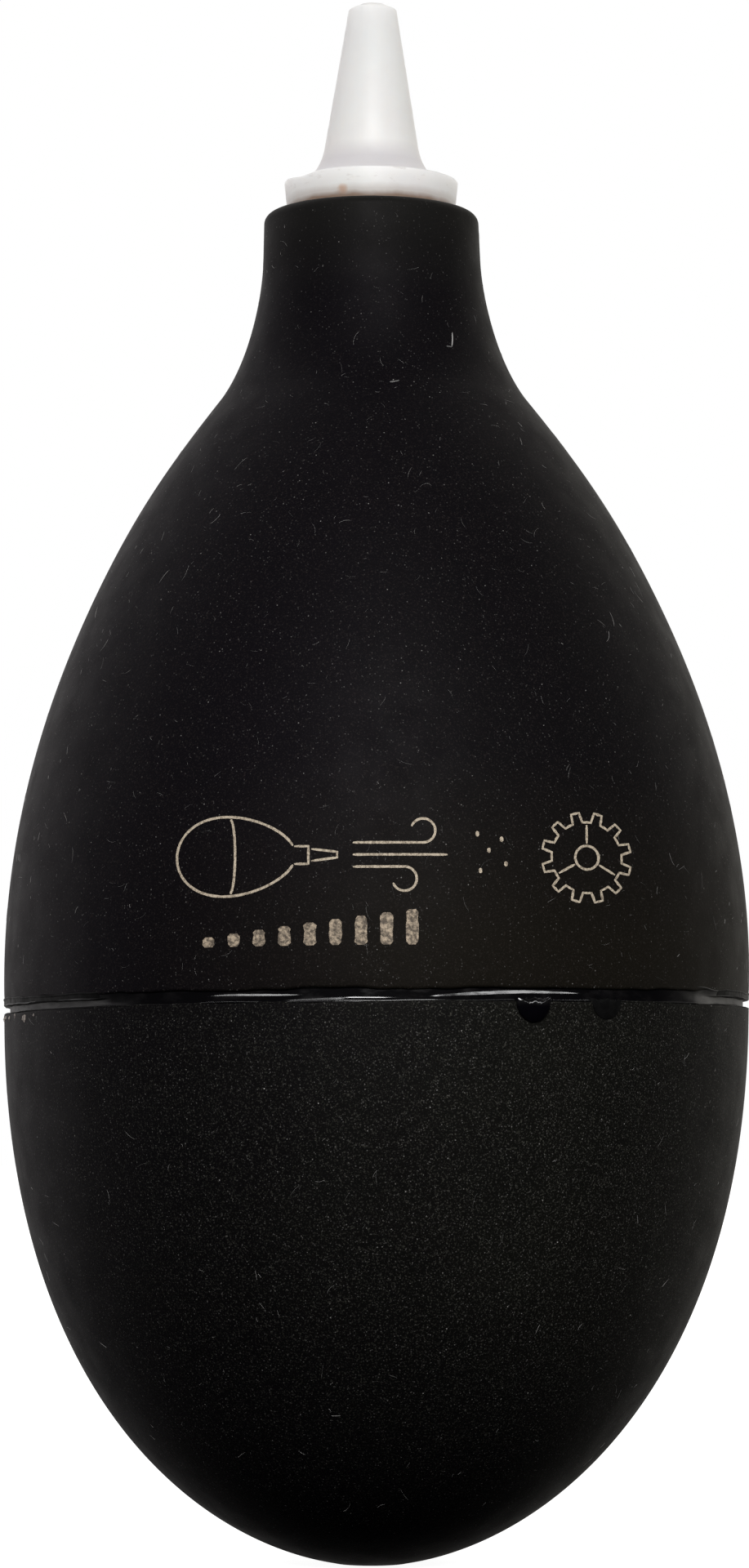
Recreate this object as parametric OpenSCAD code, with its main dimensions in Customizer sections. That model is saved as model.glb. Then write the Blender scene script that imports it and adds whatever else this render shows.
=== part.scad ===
// Dust blower bulb: an egg-shaped rubber bulb moulded in two halves and bonded at its widest
// part, with a plastic nozzle pushed into its neck. A flap valve in the nozzle lets air out
// and a sprung ball valve in the base lets air in.
// +Z is the axis, towards the nozzle, and z = 0 is the plane of the bonded seam.

/* [Bulb] */
// Outside radius at the seam
bulb_r = 28; // [27:0.5:29]
// Depth of the base below the seam
base_depth = 41.75; // [41:0.25:43]
// Height of the neck's top face above the seam
neck_top = 60.45; // [60:0.05:61]
// Outside radius of the neck
neck_r = 8.2; // [8:0.05:8.4]
// Thickness of the rubber wall away from the seam
wall = 3.4; // [3:0.1:3.8]
// Thickness of the rubber wall at the seam
seam_wall = 5; // [4.6:0.1:5.6]
// Radius of the neck's bore
neck_bore_r = 4.33; // [4.32:0.01:4.35]
// Radius of the air inlet through the base
port_r = 2.5; // [2:0.1:2.6]

/* [Seam] */
// Thickness of the cement between the two halves
cement = 0.12; // [0.08:0.02:0.2]
// Radius of the lap that centres one half in the other
lap_r = 25.4; // [25.2:0.1:25.6]
// Height of the lap
lap_h = 3; // [2:0.5:4]
// Depth of the chamfer round each half's outside edge
chamfer = 0.45; // [0.3:0.05:0.6]
// Radius of the cement bead's outside
bead_r = 27.8; // [27.7:0.05:27.9]

/* [Nozzle] */
// Height of the nozzle's tip above the neck
nozzle_h = 16.2; // [15:0.1:17]
// Outside radius of the tip
tip_r = 1.88; // [1.8:0.02:2]
// Radius of the hole through the tip
tip_bore_r = 0.9; // [0.8:0.05:1]
// Length of the hole through the tip
tip_bore_l = 8; // [6:0.5:9]
// Height of the flange that sits on the neck
flange_h = 2.66; // [2.4:0.02:2.8]
// Radius of the flange's top
flange_r = 6.63; // [6.4:0.01:6.8]
// Radius of the spigot inside the neck
spigot_r = 4.3; // [4.27:0.01:4.3]
// Length of the spigot below the neck's top
spigot_l = 12; // [11.5:0.25:13]

/* [Valves] */
// Radius of the inlet valve's ball
ball_r = 2; // [1.9:0.05:2.05]
// Travel of the ball off its seat
ball_lift = 1.2; // [0.8:0.1:1.2]
// Radius of the outlet flap
flap_r = 2.4; // [2.3:0.05:2.5]
// Travel of the outlet flap off its seat
flap_lift = 0.8; // [0.5:0.1:0.8]

/* [Hidden] */
$fn = 96;
steps = 16;         // points along each curve of an outline
slack = 0.02;       // gap between parts that move apart
over = 1;           // how far a cut runs past the face it opens

// Outline of the upper half: a swelling shoulder, then a hollow throat up to a straight neck
throat = [11.7, 45.9];
throat_lean = 38.5;
shoulder_pull = 28.8;
seam_pull = 3;
throat_pull = 1.6;
neck_start = 57;
neck_pull = 5.6;
neck_round = 0.75;

// Outline of the lower half: a bowl, round at the base
belly_pull = 29.8;
base_pull = 11.6;

// Boss inside the base, which holds the inlet valve
base_z = -base_depth;
boss_r = 9.5;
boss_top = base_z + 11;
boss_meets = 0.7;   // where along the bowl's curve the inside surface reaches the boss

// Inlet valve, with heights measured from the base
valve_z = base_z + 2.45;
valve_r = 6;
valve_top = base_z + 10.9;
valve_flange_r = 7.4;
valve_flange_z = base_z + 5;
valve_flange_h = 1.6;
valve_fit = 0.04;
screen_r = 5;
screen_t = 0.3;
screen_hole_r = 0.32;
screen_pitch = 0.95;
throat_hole_r = 2.3;
throat_hole_h = 0.9;
seat_hole_r = 1.6;
seat_z = base_z + 4.6;
chamber_r = 3.3;
chamber_z = base_z + 6.1;
cap_r = 4.6;
cap_t = 1.3;
cap_hole_r = 0.5;
cap_hole_ring = 2.75;
cap_holes = 6;
pip_r = 0.75;       // pip under the cap, which centres the spring
pip_h = 0.5;

ball_z = seat_z + sqrt(ball_r^2 - seat_hole_r^2) + slack;
spring_foot_r = 1.05;
spring_head_r = 1.9;
spring_wire = 0.11; // the wire's radius
spring_turns = 3.5;
spring_bottom = ball_z + sqrt((ball_r + slack + spring_wire)^2 - spring_foot_r^2);
spring_top = valve_top - cap_t - spring_wire - slack;

// Nozzle, with heights measured from the neck
neck_gap = 0.02;
cone_foot_r = 4.4;
cone_foot_z = 3.6;
cone_z = 5.1;
cone_r = 3.65;
flange_foot_r = 6.4;
edge_round = 0.27;
tip_round = 0.1;
groove_pitch = 2.4;
groove_w = 0.9;
groove_d = 0.35;
spigot_grooves = 3;
outlet_chamber_r = 3;
outlet_roof_z = -6.9;
outlet_roof_r = 1.7;
outlet_roof_h = 1.4;
lug_w = 0.9;
lug_h = 0.6;
lugs = 4;
flap_t = 0.6;
seat_t = 2.5;
seat_bore_r = 1.3;
seat_lip_r = 1.75;
seat_lip_h = 0.3;

// Runs of cement: their places are an angle round the axis and a height
drop_r = 1.6;
drop_stands_out = 0.45;
drop_places = [[-67, -0.85], [-54.5, -0.65]];

function bezier(p, t) =
    (1 - t)^3 * p[0] + 3 * (1 - t)^2 * t * p[1] + 3 * (1 - t) * t^2 * p[2] + t^3 * p[3];
function slope(p, t) =
    (1 - t)^2 * (p[1] - p[0]) + 2 * (1 - t) * t * (p[2] - p[1]) + t^2 * (p[3] - p[2]);
// A curve's point moved sideways: to the left of the way the curve runs, or to the right if d < 0
function beside(p, t, d) = let (s = slope(p, t)) bezier(p, t) + d * [-s[1], s[0]] / norm(s);
function along(first, last) = [for (i = [0 : steps]) first + (last - first) * i / steps];
function arc(centre, r, from, to, n = 6) =
    [for (i = [0 : n]) centre + r * [cos(from + (to - from) * i / n), sin(from + (to - from) * i / n)]];

uphill = [-sin(throat_lean), cos(throat_lean)];
shoulder_curve = [
    [bulb_r, 0], [bulb_r, seam_pull], throat - shoulder_pull * uphill, throat
];
throat_curve = [
    throat, throat + throat_pull * uphill, [neck_r, neck_start - neck_pull], [neck_r, neck_start]
];
bowl_curve = [[bulb_r, 0], [bulb_r, -belly_pull], [base_pull, base_z], [0, base_z]];

// The wall thins from seam_wall at the seam to wall over the first third of each curve
function wall_at(t) = wall + (seam_wall - wall) * max(0, 1 - 3 * t)^2;
inner_r = bulb_r - seam_wall;

module ring(points) {
    rotate_extrude() polygon(points);
}

module tube(r, z, h) {
    translate([0, 0, z]) cylinder(r = r, h = h);
}

module around(n) {
    for (i = [0 : n - 1]) rotate([0, 0, i * 360 / n]) children();
}

module upper_shell() {
    outside = concat(
        [for (t = along(0, 1)) if (t > 0) bezier(shoulder_curve, t)],
        [for (t = along(0, 1)) if (t > 0) bezier(throat_curve, t)]
    );
    inside = [for (t = along(1, 0)) beside(shoulder_curve, t, wall_at(t))];
    bore_z = inside[0][1] + (inside[0][0] - neck_bore_r) / tan(throat_lean);
    face = cement / 2;
    color("#26262a") ring(concat(
        [[lap_r + cement / 2, face], [bulb_r - chamfer, face], [bulb_r, face + chamfer]],
        outside,
        arc([neck_r - neck_round, neck_top - neck_round], neck_round, 0, 90),
        [[neck_bore_r, neck_top], [neck_bore_r, bore_z]],
        [for (p = inside) if (p[1] > lap_h + cement) p],
        [[inner_r, lap_h + face], [lap_r + cement / 2, lap_h + face]]
    ));
}

module lower_shell() {
    outside = [for (t = along(1, 0)) if (t > 0) bezier(bowl_curve, t)];
    inside = [for (t = along(0, boss_meets)) beside(bowl_curve, t, -wall_at(t))];
    face = -cement / 2;
    color("#232326") difference() {
        ring(concat(
            outside,
            [
                [bulb_r, face - chamfer], [bulb_r - chamfer, face], [lap_r - cement / 2, face],
                [lap_r - cement / 2, lap_h + face], [inner_r, lap_h + face]
            ],
            inside,
            [[boss_r, boss_top - 1], [boss_r - 1, boss_top], [0, boss_top]]
        ));
        tube(port_r, base_z - over, 4 * over);
        tube(valve_r + valve_fit, valve_z, boss_top - valve_z + over);
        tube(valve_flange_r + valve_fit, valve_flange_z - valve_fit, valve_flange_h + 2 * valve_fit);
    }
}

// The cement follows the step between the halves and ends outside in a bead in the groove
module seam_cement() {
    half = cement / 2;
    color("#0e0e10") ring([
        [inner_r, lap_h - half], [lap_r - half, lap_h - half], [lap_r - half, -half],
        [bulb_r - chamfer, -half], [bead_r, -half - (bead_r - bulb_r + chamfer)],
        [bead_r, half + (bead_r - bulb_r + chamfer)], [bulb_r - chamfer, half],
        [lap_r + half, half], [lap_r + half, lap_h + half], [inner_r, lap_h + half]
    ]);
}

// Two runs of cement that set on the lower half, hanging from the edge of the groove
module cement_drips() {
    color("#0e0e10") difference() {
        for (place = drop_places)
            rotate([0, 0, place[0]])
                translate([bulb_r - drop_r + drop_stands_out, 0, place[1]])
                    sphere(r = drop_r, $fn = 240);
        tube_fine(bulb_r, -4, 5);
        tube(bulb_r + 2 * drop_r, -chamfer, 3 * drop_r);
    }
}

module tube_fine(r, z, h) {
    translate([0, 0, z]) cylinder(r = r, h = h, $fn = 1440);
}

module nozzle() {
    flange_top = flange_h - edge_round;
    bottom = -spigot_l;
    flare = cone_foot_z - flange_h;
    color("#eeece6") translate([0, 0, neck_top]) difference() {
        ring(concat(
            [[0, neck_gap], [flange_foot_r, neck_gap]],
            arc([flange_r - edge_round, flange_top], edge_round, 0, 90, 4),
            [
                for (a = [270 : -15 : 195])
                    [cone_foot_r + flare, flange_h + flare] + flare * [cos(a), sin(a)]
            ],
            [[cone_r, cone_z]],
            arc([tip_r - tip_round, nozzle_h - tip_round], tip_round, 0, 90, 3),
            [[0, nozzle_h]]
        ));
        nozzle_passage();
    }
    color("#eeece6") translate([0, 0, neck_top]) difference() {
        tube(spigot_r, bottom, spigot_l + neck_gap);
        nozzle_passage();
        for (i = [1 : spigot_grooves]) difference() {
            tube(spigot_r + over, -i * groove_pitch - groove_w, groove_w);
            tube(spigot_r - groove_d, -i * groove_pitch - over - groove_w, groove_w + 2 * over);
        }
    }
    color("#eeece6") translate([0, 0, neck_top]) around(lugs)
        translate([outlet_roof_r + 0.1, -lug_w / 2, outlet_roof_z - lug_h])
            cube([outlet_chamber_r - outlet_roof_r, lug_w, lug_h + 0.2]);
}

module nozzle_passage() {
    bore_z = nozzle_h - tip_bore_l;
    ring([
        [0, -spigot_l - over], [outlet_chamber_r, -spigot_l - over],
        [outlet_chamber_r, outlet_roof_z], [outlet_roof_r, outlet_roof_z],
        [outlet_roof_r, outlet_roof_z + outlet_roof_h], [tip_bore_r, bore_z], [0, bore_z]
    ]);
    tube(tip_bore_r, bore_z - over, tip_bore_l + 2 * over);
}

module outlet_seat() {
    color("#d8d6ce") translate([0, 0, neck_top - spigot_l]) difference() {
        union() {
            tube(outlet_chamber_r, 0, seat_t);
            tube(seat_lip_r, seat_t, seat_lip_h);
        }
        tube(seat_bore_r, -over, seat_t + seat_lip_h + 2 * over);
    }
}

module outlet_flap() {
    z = neck_top - spigot_l + seat_t + seat_lip_h + slack;
    color("#3a3a3c") tube(flap_r, z, flap_t);
}

module inlet_body() {
    recess_z = valve_top - cap_t;
    color("#dedcd4") difference() {
        union() {
            tube(valve_r, valve_z, valve_top - valve_z);
            tube(valve_flange_r, valve_flange_z, valve_flange_h);
        }
        tube(screen_r, valve_z - over, screen_t + over);
        tube(throat_hole_r, valve_z, screen_t + throat_hole_h);
        tube(seat_hole_r, valve_z, seat_z - valve_z + over / 2);
        ring([
            [0, seat_z], [seat_hole_r, seat_z], [chamber_r, chamber_z],
            [chamber_r, recess_z + over / 2], [0, recess_z + over / 2]
        ]);
        tube(cap_r, recess_z, cap_t + over);
    }
}

module inlet_screen() {
    rows = 2;
    color("#9a9c9e") difference() {
        tube(screen_r, valve_z, screen_t);
        for (i = [-rows : rows], j = [-rows : rows])
            if (abs(i + j) <= rows)
                translate([(i + j / 2) * screen_pitch, j * screen_pitch * sin(60), valve_z - over])
                    cylinder(r = screen_hole_r, h = screen_t + 2 * over, $fn = 24);
    }
}

module inlet_cap() {
    z = valve_top - cap_t;
    color("#dedcd4") difference() {
        union() {
            tube(cap_r, z, cap_t);
            tube(pip_r, z - pip_h, pip_h + over / 2);
        }
        around(cap_holes)
            translate([cap_hole_ring, 0, 0]) tube(cap_hole_r, z - over, cap_t + 2 * over);
    }
}

// A round wire swept along a rising helix that widens from the ball to the cap
module inlet_spring() {
    sides = 8;
    per_turn = 20;
    rings = spring_turns * per_turn;
    points = [
        for (i = [0 : rings], j = [0 : sides - 1])
            let (
                share = i / rings,
                turn = i * 360 / per_turn,
                side = j * 360 / sides,
                coil_r = spring_foot_r + (spring_head_r - spring_foot_r) * share,
                z = spring_bottom + (spring_top - spring_bottom) * share,
                r = coil_r + spring_wire * cos(side)
            )
            [r * cos(turn), r * sin(turn), z + spring_wire * sin(side)]
    ];
    last = rings * sides;
    faces = concat(
        [[for (j = [0 : sides - 1]) j]],
        [
            for (i = [0 : rings - 1], j = [0 : sides - 1])
                let (k = (j + 1) % sides, a = i * sides)
                [a + j, a + sides + j, a + sides + k, a + k]
        ],
        [[for (j = [sides - 1 : -1 : 0]) last + j]]
    );
    color("#b9bcc0") polyhedron(points, faces, convexity = 6);
}

module inlet_ball() {
    color("#c9ccd0") translate([0, 0, ball_z]) sphere(r = ball_r);
}

upper_shell();
lower_shell();
seam_cement();
cement_drips();
nozzle();
outlet_seat();
outlet_flap();
inlet_body();
inlet_screen();
inlet_cap();
inlet_spring();
inlet_ball();
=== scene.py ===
"""The looks of a dust blower bulb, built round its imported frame.

The bulb's axis is +Z and z = 0 is the bonded seam. Outlines are (radius, height) points in
millimetres, like the part's own source, and meshes are made in metres.
"""

import math
import random

import bmesh
import bpy
import numpy as np
from mathutils import Matrix, Vector, noise


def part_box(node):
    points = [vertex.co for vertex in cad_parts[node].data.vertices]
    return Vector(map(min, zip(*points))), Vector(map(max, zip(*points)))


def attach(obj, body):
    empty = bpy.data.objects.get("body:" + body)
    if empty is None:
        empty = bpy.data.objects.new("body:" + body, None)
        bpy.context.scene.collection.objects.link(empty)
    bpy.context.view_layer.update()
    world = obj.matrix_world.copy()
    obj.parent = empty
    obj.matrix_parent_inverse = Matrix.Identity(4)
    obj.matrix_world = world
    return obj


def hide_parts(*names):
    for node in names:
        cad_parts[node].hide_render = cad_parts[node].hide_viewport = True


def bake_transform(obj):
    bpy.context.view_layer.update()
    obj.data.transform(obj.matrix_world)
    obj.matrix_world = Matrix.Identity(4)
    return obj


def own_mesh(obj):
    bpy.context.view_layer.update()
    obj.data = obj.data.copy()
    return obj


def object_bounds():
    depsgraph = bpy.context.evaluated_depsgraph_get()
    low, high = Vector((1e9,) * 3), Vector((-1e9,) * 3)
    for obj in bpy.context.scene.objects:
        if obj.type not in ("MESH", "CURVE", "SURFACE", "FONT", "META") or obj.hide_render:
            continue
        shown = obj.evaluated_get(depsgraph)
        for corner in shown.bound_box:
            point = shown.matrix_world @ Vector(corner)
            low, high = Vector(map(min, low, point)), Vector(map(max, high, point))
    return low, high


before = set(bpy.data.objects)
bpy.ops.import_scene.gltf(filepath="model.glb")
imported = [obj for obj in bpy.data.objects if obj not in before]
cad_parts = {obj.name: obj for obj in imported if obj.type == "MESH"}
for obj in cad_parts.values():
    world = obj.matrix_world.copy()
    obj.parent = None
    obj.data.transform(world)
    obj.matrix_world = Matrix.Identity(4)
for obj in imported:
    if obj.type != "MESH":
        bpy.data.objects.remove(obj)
cad_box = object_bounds()

MM = 0.001
SIDES = 384


def box_mm(node):
    """A CAD node's lowest and highest corner, in millimetres."""
    low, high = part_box(node)
    return np.array(low) / MM, np.array(high) / MM


# ---------------------------------------------------------------- camera

def make_camera():
    """Level with the lower half and tilted up a little, as far off as a tabletop shot."""
    aim_share, heights_away, tilt = 0.4940, 2.915, math.radians(-4.5)
    low, high = (Vector(corner) for corner in cad_box)
    height = high.z - low.z
    target = Vector((0, 0, low.z + aim_share * height))
    distance = heights_away * height
    data = bpy.data.cameras.new("camera")
    data.sensor_width = 36
    data.lens = 104.4
    data.clip_start = 0.01
    data.shift_x = 0.0021
    camera = bpy.data.objects.new("camera", data)
    bpy.context.scene.collection.objects.link(camera)
    camera.location = target + distance * Vector((0, -math.cos(tilt), math.sin(tilt)))
    camera.rotation_euler = (target - camera.location).to_track_quat("-Z", "Y").to_euler()
    bpy.context.scene.camera = camera


# ---------------------------------------------------------------- outlines

BULB_R = box_mm("lower_shell")[1][0]
BASE_Z = -41.75
NECK_TOP = box_mm("upper_shell")[1][2]
NECK_R = 8.2
NECK_BORE_R = 4.33
WALL = 3.4
SEAM_WALL = 5.0      # the wall's thickness next to the seam
LAP_R = 25.4         # the halves lap inside one another within this radius, up to LAP_H
LAP_H = 3.0
THROAT = np.array([11.7, 45.9])     # where the round shoulder turns into the hollow neck
THROAT_LEAN = math.radians(38.5)
UPHILL = np.array([-math.sin(THROAT_LEAN), math.cos(THROAT_LEAN)])


def bezier(points, count):
    """A cubic curve with four control points."""
    t = np.linspace(0, 1, count + 1)[:, None]
    p = np.array(points, float)
    return (1 - t) ** 3 * p[0] + 3 * (1 - t) ** 2 * t * p[1] + 3 * (1 - t) * t**2 * p[2] + t**3 * p[3]


def beside(points, depth):
    """An outline moved to the left of the way it runs."""
    along = np.gradient(points, axis=0)
    side = np.stack([-along[:, 1], along[:, 0]], 1)
    return points + depth[:, None] * side / np.linalg.norm(side, axis=1)[:, None]


def arc(centre, radius, start, end, count=8):
    """Points on an arc from one angle in degrees to another."""
    angles = np.radians(np.linspace(start, end, count + 1))
    return np.array(centre) + radius * np.stack([np.cos(angles), np.sin(angles)], 1)


def wall_at(count):
    """The wall's thickness along a curve that starts at the seam."""
    t = np.linspace(0, 1, count + 1)
    return WALL + (SEAM_WALL - WALL) * np.maximum(0, 1 - 3 * t) ** 2


SHOULDER = bezier([(BULB_R, 0), (BULB_R, 3), THROAT - 28.8 * UPHILL, THROAT], 90)
HOLLOW = bezier([THROAT, THROAT + 1.6 * UPHILL, (NECK_R, 51.4), (NECK_R, 57)], 40)
BOWL = bezier([(BULB_R, 0), (BULB_R, -29.8), (11.6, BASE_Z), (0, BASE_Z)], 120)
UPPER_SKIN = np.vstack([SHOULDER, HOLLOW[1:]])
SWELLINGS = ((52.5, 0.20, 5.0), (38.0, 0.12, 6.0))      # height, how far out, and reach along Z
for z, swell, reach in SWELLINGS:
    UPPER_SKIN[:, 0] += swell * np.exp(-(((UPPER_SKIN[:, 1] - z) / reach) ** 2))


def skin_radius(z):
    """The bulb's outside radius at a height."""
    if z >= 0:
        return float(np.interp(z, UPPER_SKIN[:, 1], UPPER_SKIN[:, 0]))
    return float(np.interp(z, BOWL[::-1, 1], BOWL[::-1, 0]))


# ---------------------------------------------------------------- hand-made unevenness

LIP = 0.42              # height of the open groove on each side of the seam
BOW = 0.42              # how far the middle of the bulb stands to one side
SEAM_SLOPE = 0.0086     # the seam isn't quite square to the axis
SEAM_REACH = 9          # the slope dies away about this far above and below the seam
FLANGE_H = 2.50         # the height of the nozzle's flange over the neck
STAIN_SPOT = tuple(MM * v for v in (-2.15, -6.15, NECK_TOP + 0.80))     # on that flange


def bowed(x, y, z):
    """Bends the bulb a little and tilts the stretch next to its seam."""
    share = np.clip((z - BASE_Z) / (NECK_TOP - BASE_Z), 0, 1)
    tilt = SEAM_SLOPE * np.exp(-((z / SEAM_REACH) ** 2))
    return x + BOW * np.sin(math.pi * share), y, z + tilt * x


def round_noise(angles, waves, seed):
    """Smooth noise between -1 and 1 along a ring, with about that many waves round it."""
    scale = waves / (2 * math.pi)
    return np.array([
        noise.noise(Vector((scale * math.cos(a), scale * math.sin(a), seed))) for a in angles.ravel()
    ]).reshape(angles.shape) * 1.6


# ---------------------------------------------------------------- meshes

def add_mesh(name, points, faces, material, crease=40):
    """A smooth piece from points in metres, whose edges of more than crease degrees stay sharp."""
    mesh = bpy.data.meshes.new(name)
    mesh.from_pydata([tuple(p) for p in points], [], faces)
    mesh.validate()
    mesh.shade_smooth()
    mesh.set_sharp_from_angle(angle=math.radians(crease))
    mesh.materials.append(material)
    piece = bpy.data.objects.new(name, mesh)
    bpy.context.scene.collection.objects.link(piece)
    return piece


def turned(name, outline, material, shape=None, place=None, sides=SIDES, crease=40):
    """A closed ring turned round the axis from a loop of (radius, height) points in millimetres.

    shape(angles, r, z) may change the radius and height round the ring, and place(x, y, z)
    moves the finished points.
    """
    outline = np.array(outline, float)
    count = len(outline)
    angles = np.linspace(0, 2 * math.pi, sides, endpoint=False)[:, None]
    r = np.repeat(outline[None, :, 0], sides, 0)
    z = np.repeat(outline[None, :, 1], sides, 0)
    if shape:
        r, z = shape(angles, r, z)
    x, y = r * np.cos(angles), r * np.sin(angles)
    if place:
        x, y, z = place(x, y, z)
    points = np.stack([x, y, z], -1).reshape(-1, 3) * MM
    after = np.roll(outline, -1, 0)
    area = np.sum(outline[:, 0] * after[:, 1] - after[:, 0] * outline[:, 1])
    faces = []
    for i in range(sides):
        k = (i + 1) % sides
        for j in range(count):
            m = (j + 1) % count
            face = (i * count + j, k * count + j, k * count + m, i * count + m)
            faces.append(face if area > 0 else face[::-1])
    return add_mesh(name, points, faces, material, crease)


# ---------------------------------------------------------------- materials

def new_material(name):
    """A material that is one Principled shader, and that shader."""
    material = bpy.data.materials.new(name)
    material.use_nodes = True
    nodes = material.node_tree.nodes
    nodes.clear()
    shader = nodes.new("ShaderNodeBsdfPrincipled")
    output = nodes.new("ShaderNodeOutputMaterial")
    material.node_tree.links.new(shader.outputs[0], output.inputs["Surface"])
    return material, shader


class Graph:
    """Short ways to add and join the nodes of a material or the world."""

    def __init__(self, owner):
        self.tree = owner.node_tree
        self.place = self.tree.nodes.new("ShaderNodeTexCoord").outputs["Object"]

    def join(self, out, socket):
        self.tree.links.new(out, socket)

    def add(self, kind, inputs=(), **settings):
        node = self.tree.nodes.new(kind)
        for key, value in settings.items():
            setattr(node, key, value)
        for key, value in dict(inputs).items():
            if isinstance(value, bpy.types.NodeSocket):
                self.join(value, node.inputs[key])
            else:
                node.inputs[key].default_value = value
        return node

    def noise(self, size_mm, detail=2.0, rough=0.5, stretch=(1, 1, 1)):
        """Noise from 0 to 1 whose lumps are about size_mm across."""
        place = self.place
        if stretch != (1, 1, 1):
            place = self.add("ShaderNodeMapping", {"Vector": place, "Scale": stretch}).outputs[0]
        node = self.add("ShaderNodeTexNoise", {
            "Vector": place, "Scale": 1 / (size_mm * MM), "Detail": detail, "Roughness": rough
        })
        return node.outputs["Fac"]

    def cells(self, size_mm):
        """Distance to the nearest of points scattered about size_mm apart, and their random colour."""
        node = self.add("ShaderNodeTexVoronoi", {"Vector": self.place, "Scale": 1 / (size_mm * MM)})
        return node.outputs["Distance"], node.outputs["Color"]

    def ramp(self, value, low, high, start=0.0, end=1.0):
        """value mapped from low..high to start..end, and held at the ends."""
        node = self.add("ShaderNodeMapRange", {
            "Value": value, "From Min": low, "From Max": high, "To Min": start, "To Max": end
        })
        return node.outputs[0]

    def math(self, kind, a, b=0.0):
        return self.add("ShaderNodeMath", {0: a, 1: b}, operation=kind).outputs[0]

    def mix(self, share, a, b):
        """The colour a where share is 0, and b where it is 1."""
        node = self.add("ShaderNodeMix", data_type="RGBA")
        for socket, value in ((node.inputs[0], share), (node.inputs[6], a), (node.inputs[7], b)):
            if isinstance(value, bpy.types.NodeSocket):
                self.join(value, socket)
            else:
                socket.default_value = value
        return node.outputs[2]

    def bump(self, height, distance_mm, after=None):
        """The normal that a height from 0 to 1 gives, on top of an earlier bump's."""
        inputs = {"Height": height, "Distance": distance_mm * MM}
        if after is not None:
            inputs["Normal"] = after
        return self.add("ShaderNodeBump", inputs).outputs[0]

    def height_mm(self):
        """The height above the seam's plane, in millimetres."""
        z = self.add("ShaderNodeSeparateXYZ", {"Vector": self.place}).outputs["Z"]
        return self.math("DIVIDE", z, MM)


def grey(level, warm=0.0):
    """A grey, turned towards red by a share."""
    return (level * (1 + warm), level, level * (1 - warm), 1)


SPECK_R = 0.055                         # the radius of a speck of dust
LEAST_SPECKS = 0.62                     # what is left of the specks where the dust thins out, which also paints shade
MOST_TINTED = 0.1                       # how much of a tinted stretch's colour shows at the most
COOL_GLOSS = (1.0, 0.92, 1.04, 1)       # the tints of the rubber's gloss at its two sides
WARM_GLOSS = (1.0, 0.99, 0.86, 1)


def rubber(name, dark, pale, grain, powder, specks, dust_and_shade_fades, painted_light_and_tints):
    """Matt black moulded rubber: a fine grain, cloudy handling marks and pale dust.

    A fade is (axis, place in mm where it is nothing, place in mm where it is full).
    dust_and_shade_fades has the fades of the dust, which also paint shade where they thin it,
    and painted_light_and_tints has (fades, colour) for each stretch tinted a little, some of them
    painted light. specks has (spacing in mm, share of them that show, paleness) for each kind of speck.
    """
    material, shader = new_material(name)
    g = Graph(material)
    axes = g.add("ShaderNodeSeparateXYZ", {"Vector": g.place})

    def faded(fades, most=1.0):
        share = most
        for axis, gone, full in fades:
            share = g.math("MULTIPLY", g.ramp(axes.outputs[axis], gone * MM, full * MM), share)
        return share

    # How thick the dust lies; where its fades thin it out, the darkening is also painted shade.
    thick = faded(dust_and_shade_fades)
    cloud = g.math("MULTIPLY", g.ramp(g.noise(9, 4, 0.6), 0.25, 0.65, 0.6, 1.0), thick)
    colour = g.mix(cloud, dark, pale)
    patches = g.ramp(g.noise(0.13, 2, 0.7), 0.55, 0.78)
    film = g.math("MULTIPLY", patches, g.ramp(thick, 0, 1, 0.25, 1))
    colour = g.mix(film, colour, powder)
    # Tinted stretches; the tints on the left edge and under the nozzle are painted light.
    for fades, tint in painted_light_and_tints:
        colour = g.mix(faded(fades, MOST_TINTED), colour, tint)
    for size, share, level in specks:
        near, tint = g.cells(size)
        pick = g.add("ShaderNodeSeparateColor", {0: tint}).outputs[1]
        chosen = g.ramp(pick, 1 - share, 1.0)
        reach = SPECK_R / size
        spot = g.ramp(near, reach, 0.45 * reach)
        spot = g.math("MULTIPLY", spot, g.math("MULTIPLY", chosen, chosen))
        spot = g.math("MULTIPLY", spot, g.ramp(thick, 0, 1, LEAST_SPECKS, 1))
        colour = g.mix(spot, colour, grey(level, 0.04))
    g.join(colour, shader.inputs["Base Color"])
    g.join(g.ramp(g.noise(2.4, 3), 0.3, 0.7, 0.50, 0.60), shader.inputs["Roughness"])
    shader.inputs["Specular IOR Level"].default_value = 0.05
    sideways = g.ramp(axes.outputs["X"], -10 * MM, 16 * MM)
    g.join(g.mix(sideways, COOL_GLOSS, WARM_GLOSS), shader.inputs["Specular Tint"])
    fine = g.bump(g.noise(0.22, 3, 0.65), grain)
    broad = g.bump(g.noise(1.3, 2), 0.012, after=fine)
    g.join(broad, shader.inputs["Normal"])
    return material


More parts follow.
